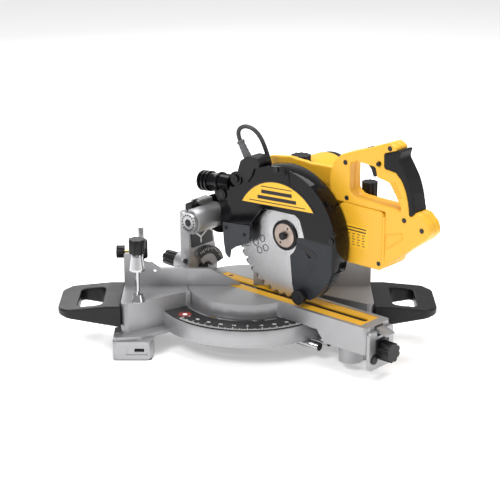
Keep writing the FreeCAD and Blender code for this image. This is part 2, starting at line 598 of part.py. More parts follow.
def build_head():
    ax, az = ARBOR
    mx, mz = MOTOR
    arm_piece("gear_case", gear_case())
    arm_piece("upper_guard", upper_guard())
    arm_piece("rear_shield", rear_shield())
    arm_piece("dust_spout", dust_spout())
    arm_piece("motor_housing", motor_housing())
    cover = cut(fuse(rod(MOTOR_R - 5.1, (mx, 144, mz), Y, 6), rod(MOTOR_R - 2, (mx, 149.6, mz), Y, 12)),
                rod(MOTOR_R - 9, (mx, 140, mz), Y, 18))
    arm_piece("motor_cover", cover)
    caps = [cut(knob((mx - 2, 75, mz + 46), Z, 17, 22, 10), rod(MOTOR_R - 5, (mx, 0, mz), Y, 200)),
            knob((202, 70, 266.2), Z, 13, 30, 10)]
    arm_piece("brush_caps", group(caps))
    whole = handle()
    holes = [rod(3.3, (x, 0, z), Y, 60) for x, z in SCREW_SPOTS]
    whole = cut(whole, *holes, rod(2 + FIT, (TRIGGER_PIN[0], 23.5, TRIGGER_PIN[1]), Y, 23))
    arm_piece("handle_shell_left", whole.common(box(0, 500, 0, SHELL_MID, 0, 600)))
    arm_piece("handle_shell_right", whole.common(box(0, 500, SHELL_MID, 99, 0, 600)))
    screws = [rod(3.2, (x, SHELL_LEFT + 2, z), Y, 26) for x, z in SCREW_SPOTS]
    screws += [rod(5, (x, GUARD_LEFT - 2, z), Y, 2) for x, z in GUARD_SPOTS]
    arm_piece("housing_screws", group(screws))
    band = side(GRIP_BAND, GRIP_BAND_R, SHELL_LEFT - 1, SHELL_RIGHT + 1)
    arm_piece("grip_overmould", band)
    arm_piece("trigger_switch", box(227, 261, 28, 42, 357.2, 365.8))
    stator = cut(rod(MOTOR_R - 5, (mx, 64, mz), Y, 46), rod(25.5, (mx, 60, mz), Y, 60))
    arm_piece("stator", stator)
    bearings = [tube(13, 8 + FIT, (ax, y0, az), Y, 8) for y0 in (10, 34)]
    arm_piece("arbor_bearings", group(bearings))
    arm_piece("guard_bracket", bracket())


def bracket():
    """Black bracket on top of the guard that carries the lead's boot, with a lip over the guard's face."""
    top = side([(-4, 292), (3, 313), (18, 323), (38, 324), (45, 315), (40, 300), (10, 280)],
               [4, 8, 8, 6, 6, 0, 0], -21, 8)
    lip = side([(-2, 292), (2, 306), (34, 310), (28, 292), (16, 276)], [4, 4, 4, 8, 3], -21, GUARD_LEFT)
    block = cut(top, rod(GUARD_R, (ARBOR[0], -40, ARBOR[1]), Y, 80))
    return cut(fuse(block, lip), lead_boot(), rod(12.2, (-8, -40, 280), Y, 60))


def build_moving_head():
    ax, az = ARBOR
    arm_piece("guard_hub", tube(38, 32 + FIT, (ax, 7.5, az), Y, 5))
    arm_piece("lower_guard", lower_guard())
    arm_piece("guard_roller", tube(12.5, 3 + FIT, (132, -27, 105.5), Y, 9))
    arm_piece("arbor_shaft", rod(8, (ax, -1, az), Y, 42))
    gear = gear_wheel(ARBOR, GEAR_TEETH, 25, 31, math.degrees(MOTOR_ANGLE))
    arm_piece("spindle_gear", cut(gear, rod(8, (ax, 0, az), Y, 50)))
    arm_piece("inner_flange", cut(rod(25, (ax, BLADE_HALF - 0.3, az), Y, 3.5), rod(8, (ax, 0, az), Y, 50)))
    outer = cut(rod(20.5, (ax, -5, az), Y, 4), rod(8, (ax, -1, az), Y, 5), rod(4, (ax, -9, az), Y, 20))
    arm_piece("outer_flange", outer)
    arm_piece("arbor_bolt", fuse(rod(6.5, (ax, -10.5, az), Y, 5.5), rod(4, (ax, -6, az), Y, 5)))
    arm_piece("saw_blade", saw_blade())
    arm_piece("armature", armature())
    arm_piece("motor_fan", fan())
    arm_piece("trigger", trigger())
    arm_piece("lock_off_button", rod(3.2, (BUTTON[0], 16, BUTTON[1]), Y, 12))
    arm_piece("spindle_lock_button", rod(6, (125, 65, 276), Z, 20))


# ---- work clamp ----
def build_clamp():
    x, py, ry = CLAMP_X, CLAMP_POST_Y, CLAMP_ROD_Y
    piece("clamp_post", rod(5 - FIT, (x, py, 60), Z, 126))
    sleeve = rod(11, (x, py, TABLE + 42), Z, 30)
    arm = slab([(x - 7, ry), (x + 7, ry), (x + 8, py), (x - 8, py)], 0, TABLE + 62, TABLE + 74)
    boss = cone(13, 9, (x, ry, TABLE + 54), Z, 28)
    side_boss = rod(7, (x - 20, py, TABLE + 52), X, 20)
    body = fuse(sleeve, arm, boss, side_boss)
    body = cut(body, rod(5, (x, py, 100), Z, 100), rod(3.5 + FIT, (x, ry, 100), Z, 100),
               rod(3 + FIT, (x - 40, py, TABLE + 52), X, 40))
    piece("clamp_arm", body)
    screw = fuse(rod(3, (x - 30, py, TABLE + 52), X, 24.5), knob((x - 42, py, TABLE + 52), X, 11, 14, 5))
    piece("clamp_thumb_screw", screw)
    spindle = fuse(rod(3.5, (x, ry, TABLE + 6), Z, 90), knob((x, ry, TABLE + 84), Z, 13.5, 24))
    piece("clamp_spindle", spindle)
    pad = cut(cone(12, 8, (x, ry, TABLE + 0.2), Z, 12), rod(3.5 + FIT, (x, ry, TABLE + 5.9), Z, 20))
    piece("clamp_pad", pad)


# ---- lead ----
def round_route(points, r):
    """A tube along straight runs joined by arcs as large as the runs allow."""
    pts = [vec(*p) for p in points]
    edges, last = [], pts[0]
    for i in range(1, len(pts) - 1):
        back, ahead = pts[i - 1] - pts[i], pts[i + 1] - pts[i]
        short = min(back.Length, ahead.Length)
        half = back.getAngle(ahead) / 2
        back.normalize()
        ahead.normalize()
        run = 0.45 * short
        radius = run * math.tan(half)
        print("lead radius %.1f" % radius)
        mid = back + ahead
        mid.normalize()
        a, b = pts[i] + back * run, pts[i] + ahead * run
        m = pts[i] + mid * (radius / math.sin(half) - radius)
        edges += [Part.makeLine(last, a), Part.Arc(a, m, b).toShape()]
        last = b
    edges.append(Part.makeLine(last, pts[-1]))
    wire = Part.Wire(edges)
    start = pts[1] - pts[0]
    profile = Part.Wire([Part.makeCircle(r, pts[0], start)])
    solid = wire.makePipeShell([profile], True, False)
    print("lead length %.1f volume ratio %.4f" % (wire.Length, solid.Volume / (math.pi * r * r * wire.Length)))
    return solid


BOOT_LOW, BOOT_TOP = (9.0, -2.0, 305.0), (-14.0, -2.0, 340.0)
LEAD = [(-14.0, -2.0, 340.0), (-19.0, -2.0, 349.0), (-18.0, -1.0, 359.0), (-9.0, 1.0, 365.5),
        (3.0, 4.0, 365.0), (13.5, 8.0, 358.0), (20.5, 12.5, 345.5), (24.0, 17.5, 330.0),
        (26.5, 22.0, 314.0), (28.4, 26.0, 297.0)]


def lead_boot():
    """The tapered strain relief that the lead leaves the bracket through."""
    low, top = vec(*BOOT_LOW), vec(*BOOT_TOP)
    axis = top - low
    length = axis.Length
    axis.normalize()
    body = Part.makeCone(7.4, 5.4, length, low, axis)
    return fuse(body, Part.makeCylinder(6.8, 4, top - axis * 4, axis))


def build_lead():
    lead = round_route(LEAD, LEAD_R)
    arm_piece("lead_boot", cut(lead_boot(), rod(GUARD_R, (ARBOR[0], -40, ARBOR[1]), Y, 80), lead))
    arm_piece("power_lead", lead)


for build in (build_base, build_turntable, build_carriage, build_bevel, build_head,
              build_moving_head, build_clamp, build_lead):
    build()

for name, shape in PIECES.items():
    if not shape.isValid():
        print("NOT VALID:", name)
    shape.exportStep("parts/%s.step" % name)
print(len(PIECES), "nodes")
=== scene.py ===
"""Sliding mitre saw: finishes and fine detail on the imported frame.

Sizes are millimetres in the arm frame, x out along the table's arm, y to its right and z up from the
floor, unless a name or comment says world.  The world frame has the saw's front at -y.
"""
import json
import math

import bmesh
import bpy
from mathutils import Matrix, Vector

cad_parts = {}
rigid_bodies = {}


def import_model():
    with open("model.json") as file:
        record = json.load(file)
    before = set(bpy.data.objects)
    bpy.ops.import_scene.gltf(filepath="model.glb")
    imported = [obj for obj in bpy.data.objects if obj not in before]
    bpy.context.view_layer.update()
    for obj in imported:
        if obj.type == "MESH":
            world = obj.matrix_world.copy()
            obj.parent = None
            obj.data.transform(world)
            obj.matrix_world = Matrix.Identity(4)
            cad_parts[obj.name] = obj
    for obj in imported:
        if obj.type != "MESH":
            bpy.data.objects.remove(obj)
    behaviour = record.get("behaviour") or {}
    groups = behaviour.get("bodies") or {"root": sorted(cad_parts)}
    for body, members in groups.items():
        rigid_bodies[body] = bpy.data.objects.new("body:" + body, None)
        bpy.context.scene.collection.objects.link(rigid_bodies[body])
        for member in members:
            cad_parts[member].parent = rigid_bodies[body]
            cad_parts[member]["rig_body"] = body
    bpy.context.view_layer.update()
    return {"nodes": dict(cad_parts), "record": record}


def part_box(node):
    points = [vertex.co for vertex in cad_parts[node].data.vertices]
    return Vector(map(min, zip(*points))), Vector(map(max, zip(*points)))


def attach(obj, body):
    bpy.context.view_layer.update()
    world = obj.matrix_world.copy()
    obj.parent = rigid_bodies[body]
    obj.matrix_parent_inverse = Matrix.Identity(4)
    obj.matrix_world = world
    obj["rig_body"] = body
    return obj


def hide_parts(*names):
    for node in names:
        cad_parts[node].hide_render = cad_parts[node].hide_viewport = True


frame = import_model()
NODES = frame["nodes"]

MM = 0.001
MITRE = 48.5                        # degrees that the arm is turned to the right
ARBOR = (84.6, 196.8)               # blade axis, x and z
PIVOT = (-78.0, 198.0)              # chop axis
MOTOR = (54.9, 244.3)               # motor axis
BLADE_R = 108.0
BLADE_HALF = 1.25                   # half the blade's thickness over its printed marks
GUARD_LEFT = -18.05                 # just proud of the upper guard's outer face
COVER_LEFT = -13.0                  # outer face of the lower guard
HOUSING_LEFT = 19.55                # just under the housing's blade-side face
SCALE_TOP = 64.15                   # just proud of the mitre scale
PLATE_R = 92.5                      # yellow plate on the upper guard
PLATE_ENDS = (38, 149)              # degrees about the blade axis
TURN = math.radians(MITRE - 90)
ARM = Matrix.Rotation(TURN, 4, "Z") @ Matrix.Scale(MM, 4)
WORLD = Matrix.Scale(MM, 4)
OUT, ACROSS, UP = (1, 0, 0), (0, 1, 0), (0, 0, 1)
WELD_GAP = 0.01 * MM


def world_point(x, y, z):
    return ARM @ Vector((x, y, z))


# ---- camera, floor and light ----
CAMERA_PLACE = (0.0042, -2.591, 1.0315)     # world, metres
CAMERA_TILT = 71.24
LENS = 116.6
FLOOR_HALF = 12
LAMPS = {                           # world place, height aimed at, size in metres, power
    "key": ((-1.1, -1.3, 1.9), 0.15, (0.9, 0.9), 30),
    "fill": ((1.9, -1.2, 1.1), 0.15, (1.2, 1.6), 12),
    "top": ((0.1, 0.5, 2.3), 0.1, (2.2, 1.4), 52),
    "back": ((-0.9, 1.9, 1.2), 0.2, (1.5, 1.0), 12),
}


def make_camera():
    data = bpy.data.cameras.new("camera")
    data.sensor_width = 36
    data.lens = LENS
    data.clip_end = 50
    cam = bpy.data.objects.new("camera", data)
    cam.location = CAMERA_PLACE
    cam.rotation_euler = (math.radians(CAMERA_TILT), 0, 0)
    bpy.context.scene.collection.objects.link(cam)
    bpy.context.scene.camera = cam


def area_light(name, place, aim_height, size, power):
    data = bpy.data.lights.new(name, "AREA")
    data.shape = "RECTANGLE"
    data.size, data.size_y = size
    data.energy = power
    lamp = bpy.data.objects.new(name, data)
    lamp.location = place
    lamp.rotation_euler = (Vector((0, 0, aim_height)) - Vector(place)).to_track_quat("-Z", "Y").to_euler()
    bpy.context.scene.collection.objects.link(lamp)


def make_lights():
    world = bpy.data.worlds.new("studio")
    bpy.context.scene.world = world
    world.use_nodes = True
    sky = world.node_tree.nodes["Background"]
    sky.inputs["Color"].default_value = (1, 1, 1, 1)
    sky.inputs["Strength"].default_value = 0.42
    for name, setting in LAMPS.items():
        area_light(name, *setting)
    bpy.context.scene.view_settings.view_transform = "Standard"


def make_floor():
    bm = bmesh.new()
    bmesh.ops.create_grid(bm, x_segments=1, y_segments=1, size=FLOOR_HALF)
    mesh = bpy.data.meshes.new("floor")
    bm.to_mesh(mesh)
    bm.free()
    floor = bpy.data.objects.new("floor", mesh)
    bpy.context.scene.collection.objects.link(floor)
    paint = finish("floor_paint", (0.93, 0.93, 0.93), 0.9, bump=0)
    shader = paint.node_tree.nodes["Principled BSDF"]
    shader.inputs["Emission Color"].default_value = (1, 1, 1, 1)
    shader.inputs["Emission Strength"].default_value = 0.3
    mesh.materials.append(paint)


# ---- materials ----
def finish(name, colour, rough, metal=0.0, grain=900, bump=0.1, mottle=0.0, spread=0.08,
           stretch=(1, 1, 1), spec=0.5):
    """A procedural finish: colour with faint mottling, uneven roughness and a fine surface grain."""
    material = bpy.data.materials.new(name)
    material.use_nodes = True
    tree = material.node_tree
    shader = tree.nodes["Principled BSDF"]
    shader.inputs["Metallic"].default_value = metal
    shader.inputs["Specular IOR Level"].default_value = spec
    coords = tree.nodes.new("ShaderNodeTexCoord")
    scale = tree.nodes.new("ShaderNodeMapping")
    scale.inputs["Scale"].default_value = stretch
    tree.links.new(coords.outputs["Object"], scale.inputs["Vector"])

    def noise(size, detail):
        node = tree.nodes.new("ShaderNodeTexNoise")
        node.inputs["Scale"].default_value = size
        node.inputs["Detail"].default_value = detail
        tree.links.new(scale.outputs["Vector"], node.inputs["Vector"])
        return node.outputs["Fac"]

    gloss = tree.nodes.new("ShaderNodeMapRange")
    gloss.inputs["To Min"].default_value = max(rough - spread, 0.02)
    gloss.inputs["To Max"].default_value = min(rough + spread, 1)
    tree.links.new(noise(38, 3), gloss.inputs["Value"])
    tree.links.new(gloss.outputs["Result"], shader.inputs["Roughness"])
    mix = tree.nodes.new("ShaderNodeMix")
    mix.data_type = "RGBA"
    mix.inputs["A"].default_value = (*[c * (1 - mottle) for c in colour], 1)
    mix.inputs["B"].default_value = (*[min(c * (1 + mottle), 1) for c in colour], 1)
    tree.links.new(noise(60, 4), mix.inputs["Factor"])
    tree.links.new(mix.outputs["Result"], shader.inputs["Base Color"])
    if bump:
        add_bump(tree, noise(grain, 2), bump, 0.0004)
    return material


def add_bump(tree, height, strength, distance):
    node = tree.nodes.new("ShaderNodeBump")
    node.inputs["Strength"].default_value = strength
    node.inputs["Distance"].default_value = distance
    tree.links.new(height, node.inputs["Height"])
    tree.links.new(node.outputs["Normal"], tree.nodes["Principled BSDF"].inputs["Normal"])


def turned(name, colour, rough, rings):
    """Bare steel with concentric grinding lines about the blade axis."""
    material = finish(name, colour, rough, metal=1.0, bump=0)
    tree = material.node_tree
    coords = tree.nodes.new("ShaderNodeTexCoord")
    place = tree.nodes.new("ShaderNodeMapping")
    place.vector_type = "TEXTURE"
    place.inputs["Location"].default_value = world_point(ARBOR[0], 0, ARBOR[1])
    place.inputs["Rotation"].default_value = (0, 0, TURN)
    wave = tree.nodes.new("ShaderNodeTexWave")
    wave.wave_type = "RINGS"
    wave.rings_direction = "Y"
    wave.inputs["Scale"].default_value = rings
    wave.inputs["Distortion"].default_value = 2.5
    wave.inputs["Detail"].default_value = 3
    tree.links.new(coords.outputs["Object"], place.inputs["Vector"])
    tree.links.new(place.outputs["Vector"], wave.inputs["Vector"])
    add_bump(tree, wave.outputs["Fac"], 0.16, 0.0002)
    return material


FINISHES = {
    "cast_aluminium": dict(colour=(0.37, 0.37, 0.38), rough=0.4, metal=0.7, grain=1300, bump=0.22,
                           mottle=0.05),
    # the turntable's machined top: partly its brushed finish, partly painted lighter than cast aluminium
    # as a painted highlight of the top-lit face
    "machined_highlit_top": dict(colour=(0.5, 0.5, 0.51), rough=0.34, metal=0.8, grain=700, bump=0.08,
                         mottle=0.04, stretch=(0.15, 3, 1)),
    "black_plastic": dict(colour=(0.006, 0.006, 0.007), rough=0.38, grain=1600, bump=0.25,
                          mottle=0.15, spec=0.3),
    "gloss_black": dict(colour=(0.003, 0.003, 0.004), rough=0.12, grain=300, bump=0.02, mottle=0.2,
                        spread=0.04, spec=0.2),
    "yellow_plastic": dict(colour=(0.82, 0.44, 0.028), rough=0.34, grain=1500, bump=0.12, mottle=0.03),
    "yellow_insert": dict(colour=(0.80, 0.43, 0.02), rough=0.42, bump=0.12, mottle=0.06),
    "smoke_plastic": dict(colour=(0.022, 0.025, 0.03), rough=0.2, grain=400, bump=0.03, mottle=0.2,
                          spec=0.2),
    "grey_plate": dict(colour=(0.05, 0.053, 0.06), rough=0.4, metal=0.3, mottle=0.1),
    "steel": dict(colour=(0.5, 0.5, 0.51), rough=0.3, metal=1, bump=0.08, mottle=0.05),
    "dark_steel": dict(colour=(0.02, 0.02, 0.021), rough=0.35, metal=0.6, mottle=0.1),
    "chrome": dict(colour=(0.5, 0.5, 0.51), rough=0.16, metal=1, grain=300, bump=0.01, mottle=0.02,
                   spread=0.03),
    "scale_black": dict(colour=(0.012, 0.012, 0.013), rough=0.35, metal=0.2, grain=700, bump=0.05,
                        mottle=0.1),
    "brass": dict(colour=(0.62, 0.44, 0.16), rough=0.28, metal=1, grain=700, mottle=0.08),
    "bronze": dict(colour=(0.42, 0.26, 0.12), rough=0.38, metal=1, bump=0.15, mottle=0.12),
    "rubber": dict(colour=(0.006, 0.006, 0.007), rough=0.45, grain=2200, bump=0.35, mottle=0.12,
                   spec=0.25),
    "lead_rubber": dict(colour=(0.035, 0.035, 0.038), rough=0.5, bump=0.2, mottle=0.1),
    "boot_rubber": dict(colour=(0.10, 0.10, 0.105), rough=0.5, bump=0.2, mottle=0.1),
    "copper": dict(colour=(0.55, 0.25, 0.12), rough=0.35, metal=1, bump=0.15, mottle=0.1),
    "white_mark": dict(colour=(0.85, 0.85, 0.84), rough=0.5, grain=700, bump=0.03),
    "dark_mark": dict(colour=(0.01, 0.01, 0.011), rough=0.5, grain=700, bump=0.03),
    "red_badge": dict(colour=(0.22, 0.02, 0.015), rough=0.35, grain=500, bump=0.05),
    "label_yellow": dict(colour=(0.90, 0.50, 0.03), rough=0.35, bump=0.03, mottle=0.02),
    "carbide": dict(colour=(0.18, 0.18, 0.19), rough=0.4, metal=1, mottle=0.1),
}
MATERIALS = {name: finish(name, **look) for name, look in FINISHES.items()}
MATERIALS["blade_steel"] = turned("blade_steel", (0.62, 0.62, 0.63), 0.24, 900)
MATERIALS["flange_steel"] = turned("flange_steel", (0.52, 0.42, 0.36), 0.32, 1500)


# ---- lead ----
LEAD = [(-14.0, -2.0, 340.0), (-19.0, -2.0, 349.0), (-18.0, -1.0, 359.0), (-9.0, 1.0, 365.5),
        (3.0, 4.0, 365.0), (13.5, 8.0, 358.0), (20.5, 12.5, 345.5), (24.0, 17.5, 330.0),
        (26.5, 22.0, 314.0), (28.4, 26.0, 297.0)]
LEAD_WIDTH = 7.5


def power_lead():
    """The short loop of lead from the boot on the guard back down into the gear case."""
    curve = bpy.data.curves.new("lead", "CURVE")
    curve.dimensions = "3D"
    curve.bevel_depth = LEAD_WIDTH / 2 * MM
    curve.bevel_resolution = 6
    curve.resolution_u = 10
    curve.use_fill_caps = True
    spline = curve.splines.new("NURBS")
    spline.points.add(len(LEAD) - 1)
    for point, place in zip(spline.points, LEAD):
        point.co = (*world_point(*place), 1)
    spline.order_u = 3
    spline.use_endpoint_u = True
    lead = bpy.data.objects.new("lead_loop", curve)
    bpy.context.scene.collection.objects.link(lead)
    curve.materials.append(MATERIALS["lead_rubber"])
    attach(lead, "head")
    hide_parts("power_lead")


# ---- mesh helpers ----
def place_piece(name, bm, body, material, where=ARM, bevel=0.0, smooth=True):
    """Turns a finished bmesh into a piece that rides on a body."""
    bmesh.ops.recalc_face_normals(bm, faces=bm.faces)
    bm.transform(where)
    mesh = bpy.data.meshes.new(name)
    bm.to_mesh(mesh)
    bm.free()
    obj = bpy.data.objects.new(name, mesh)
    bpy.context.scene.collection.objects.link(obj)
    if smooth:
        mesh.shade_smooth()
        mesh.set_sharp_from_angle(angle=math.radians(35))
    if bevel:
        soften_edges(obj, bevel)
    mesh.materials.append(MATERIALS[material])
    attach(obj, body)


def soften_edges(obj, width):
    bevel = obj.modifiers.new("bevel", "BEVEL")
    bevel.width = width * MM
    bevel.segments = 2
    bevel.limit_method = "ANGLE"
    bevel.angle_limit = math.radians(32)
    bevel.harden_normals = True
    bevel.use_clamp_overlap = True


def weld(obj):
    merge = obj.modifiers.new("weld", "WELD")
    merge.merge_threshold = WELD_GAP


def add_solid(bm, outline, t0, t1, along="y"):
    """A solid with an outline in the plane across one axis, between two places on that axis."""
    spot = {"x": lambda u, v, t: (t, u, v),
            "y": lambda u, v, t: (u, t, v),
            "z": lambda u, v, t: (u, v, t)}[along]
    low = [bm.verts.new(spot(u, v, t0)) for u, v in outline]
    high = [bm.verts.new(spot(u, v, t1)) for u, v in outline]
    bm.faces.new(low)
    bm.faces.new(high[::-1])
    bridge(bm, high, low)


def bridge(bm, first, second):
    """Side faces between two closed loops of the same length."""
    for k in range(len(first)):
        j = (k + 1) % len(first)
        bm.faces.new((first[k], first[j], second[j], second[k]))


def add_loop(bm, start, axis, along, r, segments):
    """A circle of vertices about an axis, some way along it."""
    axis = Vector(axis).normalized()
    side = axis.orthogonal().normalized()
    other = axis.cross(side)
    centre = Vector(start) + axis * along
    turns = [2 * math.pi * k / segments for k in range(segments)]
    return [bm.verts.new(centre + (side * math.cos(a) + other * math.sin(a)) * r) for a in turns]


def add_rod(bm, start, axis, r, length, segments=32):
    """A closed cylinder from a start point along an axis."""
    low = add_loop(bm, start, axis, 0, r, segments)
    high = add_loop(bm, start, axis, length, r, segments)
    bm.faces.new(low[::-1])
    bm.faces.new(high)
    bridge(bm, low, high)


def add_rods(bm, spots, y, r, length, segments):
    """Short cylinders across the arm, at x-z places."""
    for x, z in spots:
        add_rod(bm, (x, y, z), ACROSS, r, length, segments)


def add_tube(bm, start, axis, r_out, r_in, length, segments):
    """A closed ring from a start point along an axis."""
    loops = [add_loop(bm, start, axis, along, r, segments)
             for r, along in ((r_out, 0), (r_out, length), (r_in, length), (r_in, 0))]
    for k in range(4):
        bridge(bm, loops[k], loops[(k + 1) % 4])


def add_box(bm, x0, x1, y0, y1, z0, z1):
    add_solid(bm, [(x0, z0), (x1, z0), (x1, z1), (x0, z1)], y0, y1)


def about(centre, r, degrees):
    a = math.radians(degrees)
    return centre[0] + r * math.cos(a), centre[1] + r * math.sin(a)


def about_arbor(r, degrees):
    return about(ARBOR, r, degrees)


def spoke(centre, degrees, profile):
    """An outline given as distances out from a centre and across, turned about that centre."""
    a = math.radians(degrees)
    c, s = math.cos(a), math.sin(a)
    return [(centre[0] + c * r - s * w, centre[1] + s * r + c * w) for r, w in profile]


# ---- carried-over CAD nodes ----
EDGE = 0.7                          # bevel on most CAD edges
EDGES = {"saw_blade": 0.0, "power_lead": 0.0, "spindle_gear": 0.15, "armature": 0.2,
         "kerf_plate": 0.3, "miter_scale": 0.2, "bevel_scale": 0.2, "lower_guard": 0.4,
         "clamp_spindle": 0.4, "upper_guard": 1.6, "turntable": 1.3, "base_casting": 1.2,
         "bevel_arm": 1.3, "gear_case": 1.2, "left_fence": 1.0, "right_fence": 1.0}
# world places, in metres, where a node changes finish, takes painted shade or gets a painted highlight
SCREW_HEAD_X = -0.2085
SPINDLE_KNOB_Z = 0.1735
CLAMP_SLEEVE_Y = -0.066
RAIL_SHADE_END = 0.034                    # front ends of the slide rails painted black as painted shade, where they sit under the turntable ring
HIGHLIT_TOP_SKIN = 0.0002


def dress_cad():
    """Every CAD node gets its finish and a small bevel on its sharp edges."""
    for entry in frame["record"]["subparts"]:
        name = entry["node"]
        obj = NODES[name]
        obj.data.materials.clear()
        obj.data.materials.append(MATERIALS[entry["material_slot"]])
        width = EDGES.get(name, EDGE)
        if width:
            weld(obj)
            soften_edges(obj, width)


def two_tone(name, material, test):
    """Gives the faces of a CAD node that pass the test a second finish."""
    mesh = NODES[name].data
    mesh.materials.append(MATERIALS[material])
    for face in mesh.polygons:
        if test(face.center):
            face.material_index = 1


def dress_two_tone_parts():
    table_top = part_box("turntable")[1][2] - HIGHLIT_TOP_SKIN
    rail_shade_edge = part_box("slide_rails")[0][1] + RAIL_SHADE_END
    two_tone("clamp_thumb_screw", "black_plastic", lambda c: c.x < SCREW_HEAD_X)
    two_tone("clamp_spindle", "black_plastic", lambda c: c.z > SPINDLE_KNOB_Z)
    two_tone("clamp_arm", "chrome", lambda c: c.y < CLAMP_SLEEVE_Y)
    # the turntable's top faces: machined finish, painted lighter as a painted highlight from the light
    # above
    two_tone("turntable", "machined_highlit_top", lambda c: c.z > table_top)
    # painted shade: the rails' front ends under the turntable ring are painted black
    two_tone("slide_rails", "black_plastic", lambda c: c.y < rail_shade_edge)


# voxel size, smoothing rounds and the share of faces kept
MOULDINGS = {"motor_housing": (1.6, 7, 0.22), "handle_shell_left": (1.4, 5, 0.25),
             "handle_shell_right": (1.4, 5, 0.25), "grip_overmould": (1.4, 6, 0.3),
             "left_hand_grip": (1.6, 6, 0.25), "right_hand_grip": (1.6, 6, 0.25)}


def mould(name, voxel, rounds, keep):
    """A remeshed and smoothed copy of a plastic moulding, with its edges rounded all over."""
    source = NODES[name]
    obj = bpy.data.objects.new("moulded_" + name, source.data.copy())
    bpy.context.scene.collection.objects.link(obj)
    weld(obj)
    remesh = obj.modifiers.new("remesh", "REMESH")
    remesh.mode = "VOXEL"
    remesh.voxel_size = voxel * MM
    relax = obj.modifiers.new("relax", "SMOOTH")
    relax.factor = 0.5
    relax.iterations = rounds
    thin = obj.modifiers.new("thin", "DECIMATE")
    thin.ratio = keep
    bpy.context.view_layer.update()
    done = bpy.data.meshes.new_from_object(obj.evaluated_get(bpy.context.evaluated_depsgraph_get()))
    obj.modifiers.clear()
    obj.data = done
    done.shade_smooth()
    done.materials.clear()
    done.materials.append(source.data.materials[0])
    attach(obj, source["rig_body"])
    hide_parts(name)


def mouldings():
    for name, (voxel, rounds, keep) in MOULDINGS.items():
        mould(name, voxel, rounds, keep)


# ---- blade ----
TEETH = 40


def blade_tips():
    bm = bmesh.new()
    for k in range(TEETH):
        a = k * 360.0 / TEETH
        tip = [about_arbor(BLADE_R - 7, a - 1.2), about_arbor(BLADE_R - 1.4, a - 0.3),
               about_arbor(BLADE_R - 0.05, a + 1.1), about_arbor(BLADE_R - 6, a + 0.7)]
        add_solid(bm, tip, -1.3, 1.3)
    place_piece("blade_tips", bm, "spindle", "carbide", smooth=False)


def blade_marks():
    """Four plain rings and four expansion slots."""
    bm = bmesh.new()
    for x, z in ((20, 170.3), (34, 180), (28, 158.5), (41.5, 165)):
        add_tube(bm, (x, -BLADE_HALF, z), ACROSS, 6.2, 4.9, 0.35, 28)
    for angle in (23, 113, 203, 293):
        slot = [about_arbor(98, angle - 0.3), about_arbor(98, angle + 0.3),
                about_arbor(86, angle + 2.2), about_arbor(86, angle + 1.6)]
        add_solid(bm, slot, -BLADE_HALF, BLADE_HALF)
    place_piece("blade_marks", bm, "spindle", "dark_mark", smooth=False)


def flange_details():
    bm = bmesh.new()
    add_rods(bm, [about_arbor(15, angle) for angle in (60, 240)], -5.25, 1.9, 0.4, 20)
    add_rods(bm, [ARBOR], -10.7, 3.2, 0.4, 6)
    place_piece("flange_holes", bm, "spindle", "dark_mark")
    bm = bmesh.new()
    add_tube(bm, (ARBOR[0], -4.2, ARBOR[1]), ACROSS, 25.6, 20.9, 3.0, 56)
    place_piece("flange_ring", bm, "spindle", "black_plastic", bevel=0.5)


# ---- guards ----
def crescent(r, low, high):
    """Outline of the guard plate: an arc about the blade axis closed by its chord."""
    return [about_arbor(r, low + (high - low) * k / 28) for k in range(29)]


def guard_plate():
    bm = bmesh.new()
    add_solid(bm, crescent(95, 35.5, 151), GUARD_LEFT - 0.8, GUARD_LEFT)
    place_piece("guard_plate_edge", bm, "head", "dark_mark", bevel=0.2)
    bm = bmesh.new()
    add_solid(bm, crescent(PLATE_R, *PLATE_ENDS), GUARD_LEFT - 1.3, GUARD_LEFT - 0.5)
    place_piece("guard_plate", bm, "head", "label_yellow", bevel=0.2)


def guard_stripes():
    """Two thin lines and two bars, level with the plate's straight edge."""
    low, high = Vector(about_arbor(PLATE_R, PLATE_ENDS[1])), Vector(about_arbor(PLATE_R, PLATE_ENDS[0]))
    along = (high - low).normalized()
    up = Vector((-along.y, along.x))
    middle = (low + high) / 2
    depth = (middle - Vector(ARBOR)).length
    bm = bmesh.new()
    for height, thick, short in ((4, 1.4, 12), (30, 1.4, 6), (9, 6, 22), (19, 6, 18)):
        half = math.sqrt(PLATE_R ** 2 - (depth + height + thick) ** 2) - short
        corners = [middle + along * s * half + up * h
                   for s, h in ((-1, height), (1, height), (1, height + thick), (-1, height + thick))]
        add_solid(bm, corners, GUARD_LEFT - 1.5, GUARD_LEFT - 1.2)
    place_piece("guard_stripes", bm, "head", "dark_mark", smooth=False)


def guard_fasteners():
    bm = bmesh.new()
    add_rods(bm, [(-30, 190), (11, 186)], -22.2, 3.0, 1.8, 18)
    place_piece("shield_screws", bm, "head", "dark_steel", bevel=0.3)
    upper, front = (94, 309.5), (198, 226)
    bm = bmesh.new()
    for spot, depth in ((upper, 14), (front, 5)):
        add_rods(bm, [spot], -19.5, 5.6, depth, 28)
        add_rods(bm, [spot], -20.3, 3.2, 1.0, 20)
    place_piece("guard_bosses", bm, "head", "gloss_black", bevel=0.5)
    bm = bmesh.new()
    add_rods(bm, [(-43, 245)], -18.6, 4.6, 1.0, 20)
    place_piece("spout_screw", bm, "head", "dark_mark", bevel=0.2)


